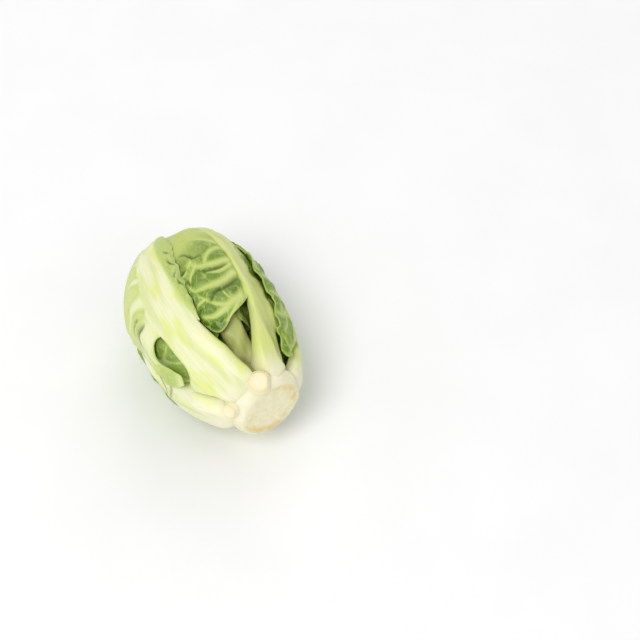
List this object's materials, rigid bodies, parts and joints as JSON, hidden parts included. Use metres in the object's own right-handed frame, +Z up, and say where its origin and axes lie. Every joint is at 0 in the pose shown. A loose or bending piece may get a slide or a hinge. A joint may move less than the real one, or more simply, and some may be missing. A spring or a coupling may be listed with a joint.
{
  "type": "brussels sprout",
  "caption": "Whole Brussels sprout as picked, lying on its side: a short cut stalk and wide-ribbed leaves wrapped over a tight heart.",
  "frame": {"origin": "middle of the bounding box's bottom face, on the surface the sprout lies on", "axes": "+X along the sprout towards the cut stalk end, +Z up"},
  "size_m": [0.0482, 0.0322, 0.0318],
  "materials": {
    "stalk": "matte, pale cream",
    "wrapper_leaf": "waxy green with pale ribs",
    "head_leaf": "waxy pale green",
    "heart": "matte yellow-green"
  },
  "bodies": {
    "root": {"stalk": "stalk", "wrapper_leaf_1": "wrapper_leaf", "wrapper_leaf_2": "wrapper_leaf", "wrapper_leaf_3": "wrapper_leaf", "wrapper_leaf_4": "wrapper_leaf", "wrapper_leaf_5": "wrapper_leaf", "head_leaf_1": "head_leaf", "head_leaf_2": "head_leaf", "head_leaf_3": "head_leaf", "head_leaf_4": "head_leaf", "head_leaf_5": "head_leaf", "head_leaf_6": "head_leaf", "heart": "heart"}
  },
  "joints": []
}
